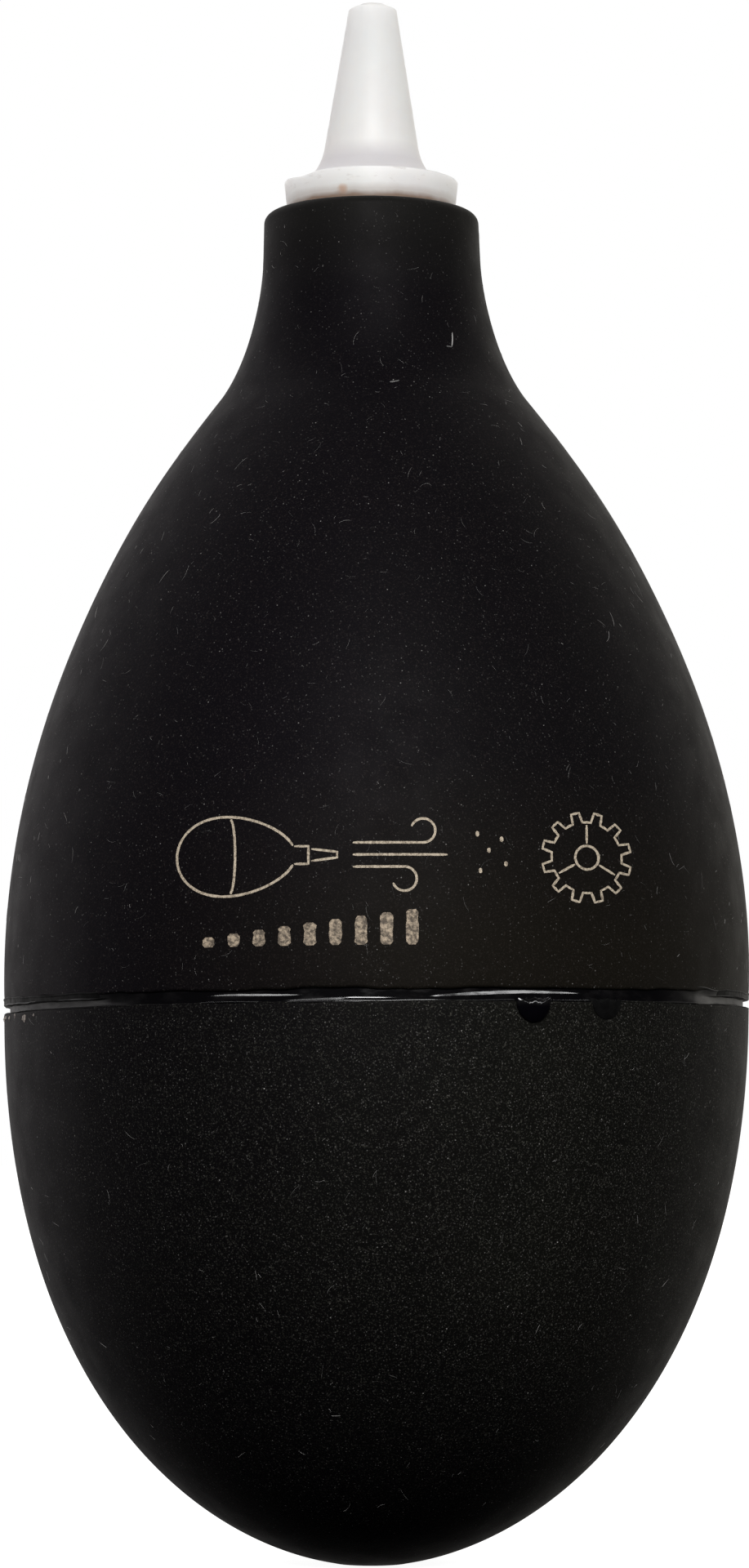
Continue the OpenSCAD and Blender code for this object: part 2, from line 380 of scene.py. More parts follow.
def cement_material():
    """Black contact cement: glossy in front and behind, dull at the sides and over the lips."""
    # The dull stretches and the dim ones next to them, to each side of SIDE_SHIFT
    dull_from, dull_full = 20.8 * MM, 22.8 * MM
    dim_from, dim_full, dim_to = 14.0 * MM, 16.0 * MM, 23.6 * MM
    # The smear on the upper lip and the runs on the lower one, above and below the seam
    lip_low, lip_high = 0.50 * MM, 0.60 * MM
    run_top, run_low = -0.6 * MM, -0.9 * MM
    gloss, dim_loss, run_loss, dullness = 0.8, 0.75, 0.55, 0.42
    material, shader = new_material("set_cement")
    g = Graph(material)
    axes = g.add("ShaderNodeSeparateXYZ", {"Vector": g.place})
    patch = g.noise(1.8, 3, 0.6, stretch=(1, 1, 2.5))
    off_side = g.math("ABSOLUTE", g.math("SUBTRACT", axes.outputs["X"], SIDE_SHIFT))
    slope = g.math("MULTIPLY", axes.outputs["X"], SEAM_SLOPE)
    level = g.math("SUBTRACT", axes.outputs["Z"], slope)
    on_lip = g.ramp(level, lip_low, lip_high, 0, 0.75)
    dull = g.math("MAXIMUM", g.ramp(off_side, dull_from, dull_full), on_lip)
    run = g.ramp(level, run_top, run_low)
    patchy = g.ramp(patch, 0.45, 0.65)
    colour = g.mix(patchy, (0.0030, 0.0028, 0.0033, 1), (0.0065, 0.0060, 0.0065, 1))
    g.join(g.mix(run, colour, (0.0016, 0.0014, 0.0024, 1)), shader.inputs["Base Color"])
    smooth = g.ramp(patch, 0.5, 0.68, 0.12, 0.22)
    roughness = g.math("ADD", smooth, g.math("MULTIPLY", dull, dullness))
    g.join(roughness, shader.inputs["Roughness"])
    dim = g.math("MULTIPLY", g.ramp(off_side, dim_from, dim_full), g.ramp(off_side, dim_to, dull_from))
    loss = g.math("MAXIMUM", g.math("MULTIPLY", dim, dim_loss), g.math("MULTIPLY", run, run_loss))
    g.join(g.math("SUBTRACT", gloss, loss), shader.inputs["Specular IOR Level"])
    g.join(g.bump(g.noise(0.9, 1, stretch=(1, 1, 2)), 0.008), shader.inputs["Normal"])
    return material


def dull_cement():
    """A smear of cement that dried dull and almost flush."""
    material, shader = new_material("dull_cement")
    g = Graph(material)
    g.join(g.mix(g.ramp(g.noise(0.6, 2), 0.4, 0.6), grey(0.0022), grey(0.0036)),
           shader.inputs["Base Color"])
    g.join(g.ramp(g.noise(0.4, 2), 0.3, 0.7, 0.45, 0.6), shader.inputs["Roughness"])
    shader.inputs["Specular IOR Level"].default_value = 0.06
    g.join(g.bump(g.noise(0.5, 1), 0.01), shader.inputs["Normal"])
    return material


def white_plastic():
    """Moulded polythene: milky and satin, with painted shade in its corners and over the rim's top
    edge, browner where it meets the rubber.
    """
    material, shader = new_material("milky_plastic")
    g = Graph(material)
    corner_shade_fade, rim_low, rim_high = (5.3, 3.9), (1.0, 1.4), (FLANGE_H + 0.2, FLANGE_H - 0.1)
    above = g.math("SUBTRACT", g.height_mm(), NECK_TOP)
    cloud = g.noise(3.5, 3)
    clean = g.mix(g.ramp(cloud, 0.35, 0.65), (0.815, 0.79, 0.775, 1), (0.835, 0.825, 0.80, 1))
    # Painted shade: the flange's top and the cone's flared foot are greyer, as if shaded in that
    # corner, which also dims the rim's top edge.
    foot = g.math("MULTIPLY", g.ramp(above, FLANGE_H - 0.12, FLANGE_H), g.ramp(above, *corner_shade_fade))
    colour = g.mix(g.math("MULTIPLY", foot, 0.75), clean, (0.58, 0.555, 0.575, 1))
    # Browner towards where the flange sits on the rubber.
    haze = g.math("ADD", above, g.math("MULTIPLY", g.noise(1.8, 3), -0.5))
    brown_near_rubber = g.math("ADD", g.ramp(haze, 1.05, 0.6, 0, 0.3), g.ramp(haze, 0.50, 0.05, 0, 0.8))
    brown_near_rubber = g.math("MULTIPLY", brown_near_rubber, g.ramp(above, -0.5, -0.1))
    colour = g.mix(brown_near_rubber, colour, (0.31, 0.215, 0.16, 1))
    # Smudges on the flange's side; the band runs up over the rim's top edge, where the darkening is
    # also painted shade on its highlight.
    smudge_and_shade_band = g.math("MULTIPLY", g.ramp(above, *rim_low), g.ramp(above, *rim_high))
    smudge = g.ramp(g.noise(1.1, 3, 0.65, stretch=(1, 1, 3)), 0.58, 0.72, 0, 0.4)
    colour = g.mix(g.math("MULTIPLY", smudge, smudge_and_shade_band), colour, (0.52, 0.47, 0.44, 1))
    away = g.add("ShaderNodeVectorMath", {0: g.place, 1: STAIN_SPOT}, operation="DISTANCE")
    ragged = g.math("ADD", away.outputs["Value"], g.math("MULTIPLY", g.noise(0.4, 2), 0.3 * MM))
    colour = g.mix(g.ramp(ragged, 0.62 * MM, 0.3 * MM, 0, 0.55), colour, (0.50, 0.24, 0.11, 1))
    g.join(colour, shader.inputs["Base Color"])
    g.join(g.ramp(g.noise(0.8, 2), 0.3, 0.7, 0.36, 0.46), shader.inputs["Roughness"])
    shader.inputs["Specular IOR Level"].default_value = 0.35
    shader.inputs["Subsurface Weight"].default_value = 1.0
    shader.inputs["Subsurface Radius"].default_value = (1.0, 0.95, 0.9)
    shader.inputs["Subsurface Scale"].default_value = 4 * MM
    shader.inputs["Sheen Weight"].default_value = 0.25
    shader.inputs["Sheen Roughness"].default_value = 0.4
    g.join(g.bump(g.noise(0.5, 2), 0.006), shader.inputs["Normal"])
    return material


def laser_mark(name, pit, pale, pit_mm, pit_share):
    """Rubber burnt pale brown by a laser, with darker pits over about pit_share of it."""
    material, shader = new_material(name)
    g = Graph(material)
    pits = g.ramp(g.noise(pit_mm, 3, 0.7), pit_share - 0.12, pit_share + 0.12)
    g.join(g.mix(pits, pit, pale), shader.inputs["Base Color"])
    shader.inputs["Roughness"].default_value = 0.75
    g.join(g.bump(g.noise(0.1, 2), 0.02), shader.inputs["Normal"])
    return material


def crumb_material():
    """Old cement gone pale and pinkish brown."""
    material, shader = new_material("old_cement")
    g = Graph(material)
    g.join(g.mix(g.ramp(g.noise(0.3, 3), 0.4, 0.6), (0.12, 0.10, 0.09, 1), (0.40, 0.35, 0.31, 1)),
           shader.inputs["Base Color"])
    shader.inputs["Roughness"].default_value = 0.6
    g.join(g.bump(g.noise(0.12, 2), 0.02), shader.inputs["Normal"])
    return material


def lint_material():
    """Grey fibres, some paler than others."""
    material, shader = new_material("lint")
    g = Graph(material)
    g.join(g.mix(g.ramp(g.noise(2.0, 1), 0.4, 0.6), grey(0.12, 0.02), grey(0.34, 0.03)),
           shader.inputs["Base Color"])
    shader.inputs["Roughness"].default_value = 0.8
    return material


def valve_plastic():
    """Satin moulded plastic for the valves' seats, bush and cap."""
    material, shader = new_material("valve_bush_plastic")
    g = Graph(material)
    g.join(g.mix(g.ramp(g.noise(2.5, 3), 0.4, 0.6), (0.62, 0.61, 0.56, 1), (0.70, 0.69, 0.65, 1)),
           shader.inputs["Base Color"])
    g.join(g.ramp(g.noise(0.6, 2), 0.3, 0.7, 0.42, 0.52), shader.inputs["Roughness"])
    g.join(g.bump(g.noise(0.3, 2), 0.006), shader.inputs["Normal"])
    return material


def flap_rubber():
    """Smooth dark rubber for the outlet's flap."""
    material, shader = new_material("flap_rubber")
    g = Graph(material)
    g.join(g.mix(g.ramp(g.noise(1.0, 3), 0.4, 0.6), grey(0.020), grey(0.034)),
           shader.inputs["Base Color"])
    g.join(g.ramp(g.noise(0.5, 2), 0.3, 0.7, 0.5, 0.62), shader.inputs["Roughness"])
    g.join(g.bump(g.noise(0.2, 2), 0.008), shader.inputs["Normal"])
    return material


def steel(name, colour, roughness, grain_mm, stretch):
    """Bare metal with faint marks, drawn out along one axis where it is stretched."""
    material, shader = new_material(name)
    g = Graph(material)
    line = g.noise(grain_mm, 2, stretch=stretch)
    dull = tuple(0.8 * c for c in colour[:3]) + (1,)
    g.join(g.mix(g.ramp(line, 0.35, 0.65), dull, colour), shader.inputs["Base Color"])
    g.join(g.ramp(line, 0.3, 0.7, roughness, roughness + 0.12), shader.inputs["Roughness"])
    shader.inputs["Metallic"].default_value = 1.0
    g.join(g.bump(line, 0.004), shader.inputs["Normal"])
    return material


# ---------------------------------------------------------------- bulb

GROOVE_R = BULB_R - 1.0     # the bottom of the groove that holds the cement


def rough_lip(seed, depth):
    """Makes a moulded edge next to the seam wander up and down a little."""
    def shape(angles, r, z):
        wander = depth * (0.6 * round_noise(angles, 26, seed) + 0.4 * round_noise(angles, 90, seed + 7))
        near = np.exp(-((z / 1.1) ** 2)) * (r > GROOVE_R + 0.2)
        return r, z + wander * near
    return shape


def upper_shell(material):
    """The upper half of the bulb with its neck, hollow, and the outer side of the lap."""
    outside = UPPER_SKIN[UPPER_SKIN[:, 1] > LIP + 0.5]
    inside = beside(SHOULDER, wall_at(len(SHOULDER) - 1))[::-1]
    bore_z = inside[0][1] + (inside[0][0] - NECK_BORE_R) / math.tan(THROAT_LEAN)
    round_r, bore_round = 0.75, 0.2
    outline = np.vstack([
        [(LAP_R, 0.06), (GROOVE_R, 0.06), (GROOVE_R, LIP - 0.02), (BULB_R - 0.3, LIP)],
        arc((BULB_R - 0.22, LIP + 0.22), 0.22, -80, 0, 5),
        [(BULB_R, LIP + 0.36)],
        outside,
        arc((NECK_R - round_r, NECK_TOP - round_r), round_r, 0, 90),
        arc((NECK_BORE_R + bore_round, NECK_TOP - bore_round), bore_round, 90, 180, 4),
        [(NECK_BORE_R, bore_z)],
        inside[inside[:, 1] > LAP_H + 0.2],
        [(BULB_R - SEAM_WALL, LAP_H + 0.06), (LAP_R, LAP_H + 0.06)],
    ])
    return turned("rubber_upper_half", outline, material, rough_lip(3, 0.22), bowed)


def lower_shell(material):
    """The lower half: a hollow bowl with the inner side of the lap and a boss round the inlet."""
    outside = BOWL[::-1]
    bush, flange = box_mm("inlet_body")
    pocket_z, pocket_top = bush[2], flange[2] + 0.1
    port_r, pocket_r, rib_r = 2.5, 6.04, flange[0] + 0.04
    rib_z, rib_top = BASE_Z + 4.96, BASE_Z + 6.64
    boss_r, boss_z, boss_round_z = 9.5, BASE_Z + 7, BASE_Z + 10
    inside = beside(BOWL, -wall_at(len(BOWL) - 1))
    outline = np.vstack([
        arc((port_r + 0.3, BASE_Z + 0.5), 0.3, 180, 262, 5),
        outside[(outside[:, 0] > port_r + 0.5) & (outside[:, 1] < -LIP - 0.5)],
        [(BULB_R, -LIP - 0.3)],
        arc((BULB_R - 0.16, -LIP - 0.16), 0.16, 0, 80, 5),
        [(BULB_R - 0.3, -LIP), (GROOVE_R, -LIP + 0.02), (GROOVE_R, -0.06), (LAP_R, -0.06)],
        [(LAP_R, LAP_H - 0.06), (BULB_R - SEAM_WALL, LAP_H - 0.06)],
        inside[inside[:, 0] > boss_r + 0.6],
        [(boss_r, boss_z)],
        arc((boss_r - 1, boss_round_z), 1, 0, 90),
        [(pocket_r, pocket_top), (pocket_r, rib_top), (rib_r, rib_top), (rib_r, rib_z)],
        [(pocket_r, rib_z), (pocket_r, pocket_z), (port_r, pocket_z)],
    ])
    return turned("rubber_lower_half", outline, material, rough_lip(11, 0.10), bowed)


SIDE_SHIFT = 2.4 * MM       # the flush stretches of cement lie this far off to one side
CALM = (-138, -33)          # between these angles the cement sank into the groove evenly
CALM_FADES = (11, 5)        # and it does so gradually over these angles at the ends
CALM_DEPTH = 0.22
STREAK_LEAN = 0.242         # the slope at which the cement mirrors the lights
# Stretches of the cement that lean back: middle and half length in degrees, height at the start,
# middle and end as a share of the bead's, and half width as such a share.
STREAKS = (
    (-107.9, 8.0, 0.46, 0.52, 0.47, 0.085),
    (-99.0, 5.0, 0.18, 0.18, 0.20, 0.05),
    (-92.6, 6.5, 0.18, 0.28, 0.20, 0.030),
    (-70.6, 12.0, 0.30, 0.56, 0.48, 0.13),
)


def beside_seam(angles):
    """How far the cement at an angle is part of the two flush stretches, from 0 to 1."""
    off_side = np.abs(np.cos(angles) - SIDE_SHIFT / (BULB_R * MM))
    share = np.clip((off_side - 0.76) / 0.10, 0, 1)
    return share**2 * (3 - 2 * share)


def rough_hollow(a, share):
    """How far the cement lies in the groove where it sank unevenly, at shares of its height."""
    depth = np.clip(0.34 + 0.26 * round_noise(a, 9, 27) + 0.08 * round_noise(a, 44, 29), 0.06, 0.62)
    lean = 0.5 + 0.28 * round_noise(a, 12, 31)
    rise = np.where(share < lean, share / lean, (1 - share) / (1 - lean))
    return depth * np.sin(0.5 * math.pi * np.clip(rise, 0, 1)) ** 1.3


def calm_hollow(a, turn, share, height):
    """How far the cement lies in the groove where it sank evenly, with the streaks on it."""
    foot, brow = 0.07, 0.1
    wobble = 0.02 * round_noise(a, 40, 45)
    hollow = CALM_DEPTH * np.clip(share / foot, 0, 1) ** 0.5
    for degrees, half, start, middle, end, width in STREAKS:
        way = (turn - degrees) / half
        wide = width * np.clip(1 - way**2, 0.01, 1) ** 0.7
        centre = middle + 0.5 * (end - start) * way + (0.5 * (start + end) - middle) * way**2 + wobble
        climb = STREAK_LEAN * height * np.clip(share - centre + wide, 0, 2 * wide)
        hollow = hollow + (np.abs(way) < 1) * climb
    return hollow * np.clip((1 - share) / brow, 0, 1) ** 0.5


def cement_bead(material, dull):
    """Cement that fills the groove unevenly: sunk in front and behind, part flush at the sides."""
    steps, sides = 30, 960
    slot_depth, slot_top, dull_share = 0.46, 0.55, 0.58

    def shape(angles, r, z):
        a = angles
        share = np.linspace(0, 1, steps + 1)[None, :]
        at_side = beside_seam(a)
        turn = (np.degrees(a) + 180) % 360 - 180
        inward = np.minimum((turn - CALM[0]) / CALM_FADES[0], (CALM[1] - turn) / CALM_FADES[1])
        calm = np.clip(inward, 0, 1)
        over_top = 0.10 + 0.22 * np.maximum(0, round_noise(a, 14, 21))
        over_top = over_top + 0.10 * round_noise(a, 70, 23) * (1 - 0.8 * calm)
        low = -LIP - 0.06 + 0.05 * round_noise(a, 40, 25)
        top = LIP + 0.10 + np.maximum(0.02, over_top)
        hollow = rough_hollow(a, share)
        hollow = hollow + calm * (calm_hollow(a, turn, share, top - low) - hollow)
        edge = slot_top + 0.05 * round_noise(a, 30, 35)
        slot = slot_depth * np.clip(np.minimum(share / 0.08, (edge - share) / 0.06), 0, 1) ** 0.6
        lump = 0.03 * round_noise(a, 60, 37) * (share > edge)
        ridge = np.exp(-(((share - 0.93) / 0.045) ** 2))
        ridge = 0.05 * ridge * (1 + 0.6 * round_noise(a, 50, 39))
        ripple = 0.020 * round_noise(a, 150, 33) * (share > 0.55) * (1 - calm)
        sunk = (1 - at_side) * hollow + at_side * (slot - lump)
        r[:, 1:-1] = BULB_R + 0.02 + ridge + ripple - sunk
        r[:, steps + 1] = BULB_R - 0.05
        z[:, 1:-1] = low + (top - low) * share
        return r, z

    front = [(BULB_R, -LIP + 2 * LIP * i / steps) for i in range(steps + 1)]
    outline = [(GROOVE_R + 0.02, -LIP + 0.04)] + front + [(GROOVE_R + 0.02, LIP - 0.04)]
    piece = turned("cement_bead", outline, material, shape, bowed, sides=sides, crease=70)
    piece.data.materials.append(dull)
    flush = beside_seam(np.linspace(0, 2 * math.pi, sides, endpoint=False)) > 0.3
    above = np.arange(len(outline)) > 1 + dull_share * steps
    kinds = (flush[:, None] & above[None, :]).astype(int).ravel()
    piece.data.polygons.foreach_set("material_index", kinds)
    return piece


def cement_drips(glossy, dull):
    """Half-round runs that hang from the lower lip: one domed and glossy, one flat and dull."""
    rings, sides, root = 9, 48, -0.12
    points, faces, materials = [], [], []
    # Angle in degrees, half width, height, how far it stands out, and which material it has
    runs = ((-67.0, 1.40, 1.64, 0.34, 0), (-54.6, 1.42, 1.40, 0.10, 1))
    for degrees, wide, tall, stands_out, kind in runs:
        first = len(points)
        middle = -0.32 * tall
        for ring in range(rings + 1):
            share = ring / rings
            for side in range(sides if ring else 1):
                turn = 2 * math.pi * side / sides
                ragged_top = 0.10 + 0.05 * math.sin(5 * turn) + 0.03 * math.sin(13 * turn)
                edge_z = tall * min(math.sin(turn), ragged_top)
                across = wide * math.cos(turn) * share
                z = middle + (edge_z - middle) * share
                height = stands_out * (1 - share**2.6) ** 0.5 if ring < rings else root
                r = skin_radius(z - LIP) + height
                angle = math.radians(degrees) + across / BULB_R
                points.append((r * math.cos(angle), r * math.sin(angle), z - LIP))
        for side in range(sides):
            k = (side + 1) % sides
            faces.append((first, first + 1 + side, first + 1 + k))
            for ring in range(rings - 1):
                a = first + 1 + ring * sides
                b = a + sides
                faces.append((a + side, b + side, b + k, a + k))
        last = first + 1 + (rings - 1) * sides
        faces.append([last + side for side in range(sides)][::-1])
        materials += [kind] * (len(faces) - len(materials))
    x, y, z = bowed(*np.array(points).T)
    piece = add_mesh("cement_runs", np.stack([x, y, z], 1) * MM, faces, glossy)
    piece.data.materials.append(dull)
    piece.data.polygons.foreach_set("material_index", materials)
    return piece


# ---------------------------------------------------------------- nozzle

def nozzle_piece(material):
    """The moulded cone and flange on a grooved spigot, bored through, with lugs over the flap."""
    tip_r, tip_bore_r, height, bore_length, dome = 1.84, 0.9, 16.35, 8.0, 0.45
    flange_r, flange_foot_r, flange_round = 6.63, 6.40, 0.10
    spigot_r, spigot_l = 4.30, 12.0
    groove_pitch, groove_w, groove_d = 2.4, 0.9, 0.35
    chamber_r, roof_z, roof_r, roof_h = 3.0, -6.9, 1.7, 1.4
    outline = [(chamber_r, -spigot_l), (spigot_r - 0.25, -spigot_l), (spigot_r, -spigot_l + 0.25)]
    for i in (3, 2, 1):
        low = -i * groove_pitch - groove_w
        outline += [(spigot_r, low), (spigot_r - groove_d, low + 0.1)]
        outline += [(spigot_r - groove_d, low + groove_w - 0.1), (spigot_r, low + groove_w)]
    outline += [(spigot_r, 0.02), (flange_foot_r - 0.12, 0.02), (flange_foot_r, 0.12)]
    outline += list(arc((flange_r - flange_round, FLANGE_H - flange_round), flange_round, 4, 90, 8))
    outline += list(bezier([(5.75, FLANGE_H), (4.45, FLANGE_H + 0.05), (3.75, 4.15), (3.57, 5.30)], 22))
    outline += [(tip_r, height - dome)]
    for r in np.linspace(tip_r - 0.06, tip_bore_r + 0.12, 9):
        fall = (r * r - tip_bore_r**2) / (tip_r**2 - tip_bore_r**2)
        outline.append((r, height - 0.02 - (dome - 0.06) * fall))
    outline += list(arc((tip_bore_r + 0.08, height - 0.08), 0.08, 90, 180, 4))
    outline += [(tip_bore_r, height - bore_length), (roof_r, roof_z + roof_h), (roof_r, roof_z)]
    outline += [(chamber_r, roof_z)]

    def worn_rim(angles, r, z):
        depth, worn_at, reach = 0.26, math.radians(217), math.radians(14)
        dip = depth * np.exp(-(((angles - worn_at) / reach) ** 2))
        return r, z - dip * (r > 6.2) * (z > NECK_TOP + FLANGE_H - 0.3)

    def lean(x, y, z):
        slope = 0.008
        return x + slope * np.maximum(0, z - NECK_TOP - FLANGE_H), y, z

    outline = np.array(outline) + (0, NECK_TOP)
    piece = turned("nozzle_moulding", outline, material, worn_rim, lean, sides=192, crease=38)
    mesh = bmesh.new()
    mesh.from_mesh(piece.data)
    lugs, lug_w, lug_h = 4, 0.9, 0.6
    for i in range(lugs):
        turn = Matrix.Rotation(i * 2 * math.pi / lugs, 4, "Z")
        middle = Vector(((roof_r + chamber_r) / 2 + 0.1, 0, NECK_TOP + roof_z - lug_h / 2 + 0.05))
        size = Vector((chamber_r - roof_r, lug_w, lug_h + 0.1))
        place = turn @ Matrix.Translation(middle * MM) @ Matrix.Diagonal((*(size * MM), 1))
        bmesh.ops.create_cube(mesh, size=1, matrix=place)
    mesh.to_mesh(piece.data)
    mesh.free()
    return piece


# ---------------------------------------------------------------- inlet spring

def valve_spring(material):
    """A conical coil of wire between the ball and the cap, with its end turns wound flat."""
    low, high = box_mm("inlet_spring")
    wire, foot_r, turns, per_turn, sides = 0.11, 1.05, 3.5, 48, 12
    head_r = -low[0] - wire
    rings = int(turns * per_turn)
    points, faces = [], []
    for i in range(rings + 1):
        share = i / rings
        turn = 2 * math.pi * i / per_turn
        coil_r = foot_r + (head_r - foot_r) * share
        rise = share * share * (3 - 2 * share)
        z = low[2] + wire + (high[2] - low[2] - 2 * wire) * rise
        for j in range(sides):
            side = 2 * math.pi * j / sides
            r = coil_r + wire * math.cos(side)
            points.append((r * math.cos(turn), r * math.sin(turn), z + wire * math.sin(side)))
    for i in range(rings):
        for j in range(sides):
            k = (j + 1) % sides
            a, b = i * sides, (i + 1) * sides
            faces.append((a + j, b + j, b + k, a + k))
    faces.append(list(range(sides)))
    faces.append([rings * sides + j for j in range(sides)][::-1])
    return add_mesh("valve_spring", np.array(points) * MM, faces, material), high[2] * MM


# ---------------------------------------------------------------- laser mark

def front_point(x, z, proud):
    """The point of the bulb's skin that lies straight behind (x, z) as seen from the front."""
    r = skin_radius(z) + proud
    return bowed(x, -math.sqrt(max(r * r - x * x, 0)), z)


def ribbon(points, faces, path, width, loop=False, across=2):
    """Adds a thin closed band to a mesh, burnt into the skin along a path seen from the front."""
    proud, deep, uneven, end_width = 0.018, 0.12, 0.22, 0.55
    path = np.array(path, float)
    if loop:
        along = np.roll(path, -1, 0) - np.roll(path, 1, 0)
    else:
        along = np.gradient(path, axis=0)
    side = np.stack([-along[:, 1], along[:, 0]], 1)
    side = side / np.maximum(np.linalg.norm(side, axis=1), 1e-9)[:, None]
    first, count = len(points), len(path)
    for i, (spot, out) in enumerate(zip(path, side)):
        wide = width * (1 + uneven * noise.noise(Vector((spot[0] * 2.6, spot[1] * 2.6, 4.0))))
        if not loop and i in (0, count - 1):
            wide *= end_width
        row = [spot + out * wide * (j / across - 0.5) for j in range(across + 1)]
        points += [front_point(*p, proud) for p in row]
        points += [front_point(*p, -deep) for p in row[::-1]]
    ring = 2 * (across + 1)
    for i in range(count if loop else count - 1):
        a, b = first + i * ring, first + (i + 1) % count * ring
        for j in range(ring):
            k = (j + 1) % ring
            faces.append((a + j, a + k, b + k, b + j))
    if not loop:
        faces.append([first + j for j in range(ring)][::-1])
        faces.append([first + (count - 1) * ring + j for j in range(ring)])


def straight(*corners, step=0.3):
    """A path through corners, with a point about every step."""
    path = [corners[0]]
    for (x0, z0), (x1, z1) in zip(corners, corners[1:]):
        count = max(1, round(math.hypot(x1 - x0, z1 - z0) / step))
        for i in range(1, count + 1):
            path.append((x0 + (x1 - x0) * i / count, z0 + (z1 - z0) * i / count))
    return path


def laser_sign(lines, fill):
    """A plain sign burnt on the front, over a row of bars.

    It shows a blower on its side, air, dust and a toothed wheel. x0, z0 is the blower's middle.
    """
    line, dot, bar = 0.175, 0.36, 0.85
    x0, z0 = -9.9, 9.75
    points, faces = [], []

    def draw(path, width=line, **rest):
        ribbon(points, faces, path, width, **rest)

    def draw_tube(start, start_half, end, end_half):
        draw(straight((x0 + start, z0 + start_half), (x0 + end, z0 + end_half),
                      (x0 + end, z0 - end_half), (x0 + start, z0 - start_half)))

    def ring(x, radius, turns):
        return [(x + radius * math.cos(t), z0 + radius * math.sin(t)) for t in turns]

    length, half, taper = 4.2, 2.75, 0.5
    turns = np.radians(np.linspace(17, 343, 90))
    draw([(x0 + length * math.cos(t), z0 + (half - taper * math.cos(t)) * math.sin(t)) for t in turns])
    draw_tube(4.1, 0.62, 5.1, 0.62)
    draw_tube(5.3, 0.42, 7.1, 0.2)
    turns = np.radians(np.linspace(-88, 88, 26))
    draw([(x0 - 0.4 + 0.35 * math.cos(t), z0 + 2.6 * math.sin(t)) for t in turns])

    air_x, air_gap, curl = x0 + 8.2, 0.85, 0.85
    for way, length in ((1, 4.9), (-1, 3.6)):
        bend = []
        for t in np.radians(np.linspace(8, 250, 22)):
            rise = air_gap + curl - curl * math.cos(t)
            bend.append((air_x + length + curl * math.sin(t), z0 + way * rise))
        draw(straight((air_x, z0 + way * air_gap), (air_x + length, z0 + way * air_gap)) + bend)
    draw(straight((air_x, z0), (air_x + 6.6, z0)))

    for x, z in ((16.9, 1.5), (17.7, 0.35), (17.1, -1.1), (18.6, 1.15), (18.9, -0.6)):
        draw(straight((x0 + x - 0.12, z0 + z), (x0 + x + 0.12, z0 + z), step=0.08), dot)

    wheel_x, teeth, root, crown, hub, spokes = x0 + 24.7, 12, 2.55, 3.25, 0.85, 3
    rim = []
    for i in range(teeth):
        middle = 2 * math.pi * (i + 0.5) / teeth
        for r, turn in ((root, -0.5), (root, -0.27), (crown, -0.17), (crown, 0.17), (root, 0.27)):
            angle = middle + turn * 2 * math.pi / teeth
            rim.append((wheel_x + r * math.cos(angle), z0 + r * math.sin(angle)))
    draw(straight(*rim, rim[0])[:-1], loop=True)
    draw(ring(wheel_x, hub, np.linspace(0, 2 * math.pi, 24, endpoint=False)), loop=True)
    for i in range(spokes):
        turn = math.radians(90 + 360 / spokes * i)
        draw([ring(wheel_x, r, [turn])[0] for r in np.linspace(1.0, 2.35, 6)])

    line_faces = len(faces)
    bars, pitch, foot, least, growth = 9, 1.78, 3.45, 0.7, 0.22
    for i in range(bars):
        x = x0 - 1.9 + i * pitch
        draw(straight((x, foot), (x, foot + least + growth * i), step=0.2), bar, across=4)
    piece = add_mesh("laser_sign", np.array(points) * MM, faces, lines, crease=50)
    piece.data.materials.append(fill)
    kinds = [int(i >= line_faces) for i in range(len(faces))]
    piece.data.polygons.foreach_set("material_index", kinds)
    return piece


# ---------------------------------------------------------------- lint and crumbs

def skin_point(angle, z, proud):
    """A point just outside the bulb's skin, with the skin's outward direction there."""
    step = 0.2
    r = skin_radius(z)
    slope = (skin_radius(z + step) - skin_radius(z - step)) / (2 * step)
    out = Vector((math.cos(angle), math.sin(angle), -slope)).normalized()
    return Vector(bowed(r * math.cos(angle), r * math.sin(angle), z)) + proud * out, out


def hair(points, faces, rng, angle, z, length, thick, way=None):
    """Adds one curved fibre that lies on the skin: a three-sided tube with pointed ends.

    A fibre whose way isn't given is loose: its way and its bend are random.
    """
    steps, most_bend, placed_bend = 7, 1.2, 0.3
    loose = way is None
    way = rng.uniform(0, 2 * math.pi) if loose else way
    bend = (rng.uniform(-most_bend, most_bend) if loose else placed_bend) / length
    first = len(points)
    spots = []
    for i in range(steps + 1):
        spots.append(skin_point(angle, z, 0.6 * thick))
        way += bend * length / steps
        angle += length / steps * math.cos(way) / skin_radius(z)
        z += length / steps * math.sin(way)
    for i, (spot, out) in enumerate(spots):
        if i in (0, steps):
            points.append(spot)
            continue
        along = (spots[i + 1][0] - spots[i - 1][0]).normalized()
        aside = out.cross(along)
        for j in range(3):
            turn = math.pi / 2 + 2 * math.pi * j / 3
            points.append(spot + thick * (math.sin(turn) * out + math.cos(turn) * aside))
    last = len(points) - 1
    for j in range(3):
        k = (j + 1) % 3
        faces.append((first, first + 1 + k, first + 1 + j))
        faces.append((last, last - 3 + j, last - 3 + k))
        for i in range(steps - 2):
            a = first + 1 + 3 * i
            faces.append((a + j, a + k, a + 3 + k, a + 3 + j))


LINT_LENGTHS = (0.25, 0.3, 0.4, 0.5, 0.7, 1.1)
LINT_R = (0.004, 0.010)
FLECK_R = 0.055


